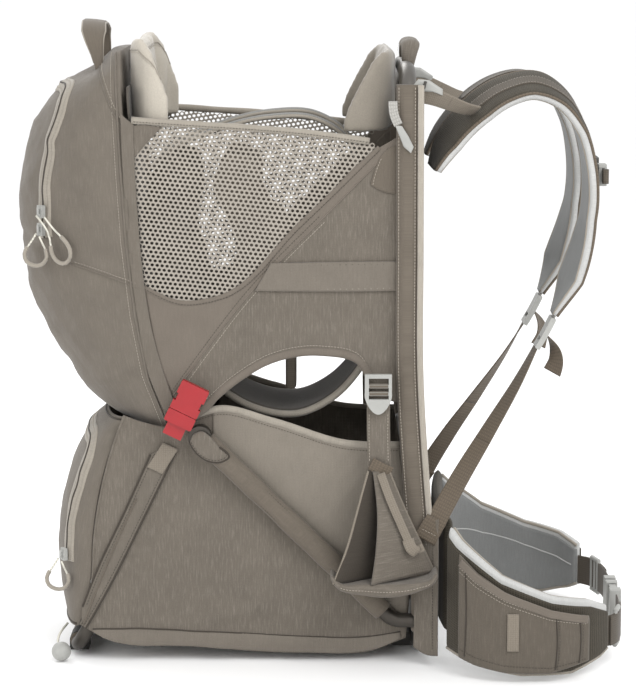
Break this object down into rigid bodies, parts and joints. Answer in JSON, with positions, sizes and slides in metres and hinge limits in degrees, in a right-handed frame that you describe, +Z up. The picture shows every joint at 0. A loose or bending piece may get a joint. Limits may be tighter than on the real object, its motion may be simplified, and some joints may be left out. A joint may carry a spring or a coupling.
{
  "type": "framed baby carrier backpack",
  "caption": "Framed child carrier worn on the back: padded cockpit with net sides, stirrups, storage bag over a folding kickstand, shoulder harness and hip belt",
  "frame": {"origin": "on the floor, at a point of the base skid's flat underside, in the plane of symmetry of the hoop", "axes": "+X wearer's right, +Y wearer's forward, +Z up"},
  "size_m": [0.4176, 0.6967, 0.723],
  "materials": {
    "frame_metal": "bead-blasted, dark anodised",
    "strut_metal": "satin dark paint",
    "rubber": "matte",
    "pack_fabric": "woven, slubbed",
    "trim_fabric": "smooth binding and zip tape",
    "net": "knitted net",
    "dark_fabric": "webbing and lining",
    "spacer_mesh": "spacer mesh over foam",
    "light_webbing": "woven webbing",
    "hardware": "fine moulded texture",
    "lock_red": "moulded",
    "cord": "braided cord",
    "dark_plastic": "moulded"
  },
  "bodies": {
    "frame": {"main_frame_tube": "frame_metal", "cross_bars": "frame_metal", "base_skid": "dark_plastic", "seat_frame_tube": "strut_metal", "frame_sleeves": "dark_fabric", "back_panel_pad": "spacer_mesh", "lumbar_pad": "spacer_mesh", "side_panels": "pack_fabric", "net_panels": "net", "rim_bindings": "trim_fabric", "cockpit_rear_wall": "dark_fabric", "rear_pocket": "pack_fabric", "child_seat": "dark_fabric", "child_harness": "dark_fabric", "face_pad_rear": "trim_fabric", "face_pad_front": "trim_fabric", "grab_handle_front": "pack_fabric", "grab_handle_rear": "pack_fabric", "bag_sides": "pack_fabric", "bag_base_panel": "pack_fabric", "upper_zip": "trim_fabric", "lock_socket_R": "lock_red", "lock_socket_L": "lock_red", "lower_webbings": "light_webbing", "load_lifters": "light_webbing"},
    "kickstand": {"kickstand_tube": "strut_metal", "kickstand_feet": "rubber", "bungee": "cord", "bungee_ball": "hardware", "bag_rear_panel": "pack_fabric", "lower_zip": "trim_fabric"},
    "lock_tongue_R": {"lock_tongue_R": "lock_red"},
    "lock_tongue_L": {"lock_tongue_L": "lock_red"},
    "stirrup_hanger_R": {"ladder_lock_R": "hardware"},
    "stirrup_hanger_L": {"ladder_lock_L": "hardware"},
    "stirrup_R": {"stirrup_webbing_R": "dark_fabric", "stirrup_bed_R": "dark_plastic"},
    "stirrup_L": {"stirrup_webbing_L": "dark_fabric", "stirrup_bed_L": "dark_plastic"},
    "harness": {"harness_yoke": "pack_fabric"},
    "strap_R": {"shoulder_strap_R": "spacer_mesh", "strap_adjuster_R": "hardware"},
    "strap_L": {"shoulder_strap_L": "spacer_mesh", "strap_adjuster_L": "hardware"},
    "sternum": {"sternum_keepers": "hardware", "sternum_socket": "dark_plastic"},
    "sternum_release": {"sternum_tongue": "dark_plastic"},
    "hip_R": {"hip_wing_R": "spacer_mesh", "hip_pocket_R": "pack_fabric", "hip_webbing_R": "dark_fabric"},
    "hip_L": {"hip_wing_L": "spacer_mesh", "hip_pocket_L": "pack_fabric", "hip_webbing_L": "dark_fabric", "hip_buckle_socket": "hardware"},
    "hip_release": {"hip_buckle_tongue": "hardware"},
    "upper_zip_run": {"upper_sliders": "hardware", "upper_pull_a": "cord", "upper_pull_b": "cord"},
    "lower_zip_run": {"lower_slider": "hardware", "lower_pull": "cord"}
  },
  "joints": [
    {"name": "kickstand_fold", "type": "hinge", "parent": "frame", "child": "kickstand", "pos_m": [0, -0.228, 0.262], "axis": [1, 0, 0], "range_deg": [0, 70], "deforming": ["bag_sides", "bag_base_panel"]},
    {"name": "harness_height", "type": "slide", "parent": "frame", "child": "harness", "axis": [0, 0, 1], "range_m": [-0.04, 0.03], "deforming": ["lower_webbings", "load_lifters"]},
    {"name": "strap_swing_R", "type": "hinge", "parent": "harness", "child": "strap_R", "pos_m": [0.09, 0.031, 0.56], "axis": [1, 0, 0], "range_deg": [-8, 14], "deforming": ["lower_webbings", "load_lifters"]},
    {"name": "strap_swing_L", "type": "hinge", "parent": "harness", "child": "strap_L", "pos_m": [-0.09, 0.031, 0.56], "axis": [1, 0, 0], "range_deg": [-8, 14]},
    {"name": "sternum_height", "type": "slide", "parent": "strap_R", "child": "sternum", "axis": [0, 0, 1], "range_m": [-0.03, 0.03]},
    {"name": "sternum_release", "type": "slide", "parent": "sternum", "child": "sternum_release", "axis": [1, 0, 0], "range_m": [0, 0.018]},
    {"name": "hip_wing_open_R", "type": "hinge", "parent": "frame", "child": "hip_R", "pos_m": [0.142, 0.052, 0.09], "axis": [0, 0, 1], "range_deg": [-30, 0]},
    {"name": "hip_wing_open_L", "type": "hinge", "parent": "frame", "child": "hip_L", "pos_m": [-0.142, 0.052, 0.09], "axis": [0, 0, 1], "range_deg": [0, 30]},
    {"name": "hip_buckle_latch", "type": "slide", "parent": "hip_R", "child": "hip_release", "axis": [-1, 0, 0], "range_m": [0, 0.0215]},
    {"name": "upper_zip_travel", "type": "hinge", "parent": "frame", "child": "upper_zip_run", "pos_m": [0.09, -0.1263, 0.5149], "axis": [1, 0, 0], "range_deg": [-11, 0]},
    {"name": "lower_zip_travel", "type": "hinge", "parent": "kickstand", "child": "lower_zip_run", "pos_m": [0.092, -0.0512, 0.1078], "axis": [1, 0, 0], "range_deg": [-14, 0]},
    {"name": "kickstand_lock_release_R", "type": "slide", "parent": "frame", "child": "lock_tongue_R", "axis": [0, -0.4384, -0.8988], "range_m": [0, 0.025]},
    {"name": "stirrup_swing_R", "type": "hinge", "parent": "frame", "child": "stirrup_hanger_R", "pos_m": [0.1485, -0.029, 0.335], "axis": [1, 0, 0], "range_deg": [-25, 0]},
    {"name": "stirrup_height_R", "type": "slide", "parent": "stirrup_hanger_R", "child": "stirrup_R", "axis": [0, 0, 1], "range_m": [-0.03, 0.04]},
    {"name": "kickstand_lock_release_L", "type": "slide", "parent": "frame", "child": "lock_tongue_L", "axis": [0, -0.4384, -0.8988], "range_m": [0, 0.025]},
    {"name": "stirrup_swing_L", "type": "hinge", "parent": "frame", "child": "stirrup_hanger_L", "pos_m": [-0.1485, -0.029, 0.335], "axis": [1, 0, 0], "range_deg": [-25, 0]},
    {"name": "stirrup_height_L", "type": "slide", "parent": "stirrup_hanger_L", "child": "stirrup_L", "axis": [0, 0, 1], "range_m": [-0.03, 0.04]}
  ],
  "couplings": [
    {"joint": "strap_swing_L", "follows": "strap_swing_R", "ratio": 1}
  ]
}
